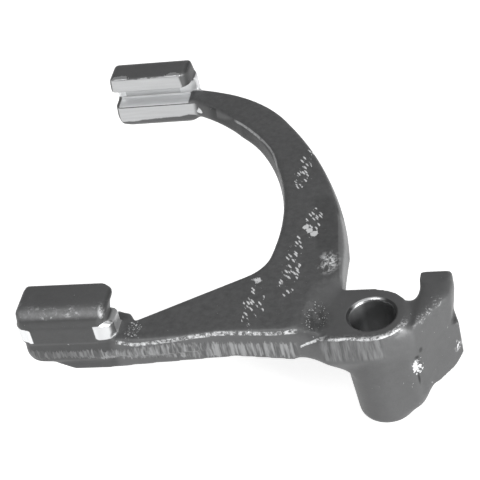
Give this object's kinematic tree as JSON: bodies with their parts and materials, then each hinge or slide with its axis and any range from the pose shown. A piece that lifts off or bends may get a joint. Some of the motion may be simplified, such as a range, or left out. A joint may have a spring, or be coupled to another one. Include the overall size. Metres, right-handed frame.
{
  "type": "shift fork",
  "caption": "Forged steel gearbox shift fork: a C-shaped fork with slotted pads at its ends, a bored boss for the shift rail and an upright ear beside it.",
  "frame": {"origin": "on the axis of the rail bore, at the hub's flat top face", "axes": "+Z along the bore, up out of the hub's flat face; +X along the pads, away from their free ends; +Y from the rail towards the sleeve that the pads ride on"},
  "size_m": [0.1912, 0.2018, 0.0729],
  "materials": {
    "forging": "dark grey scale of a steel forging with bright machined faces"
  },
  "bodies": {
    "root": {"shift_fork": "forging"}
  },
  "joints": []
}
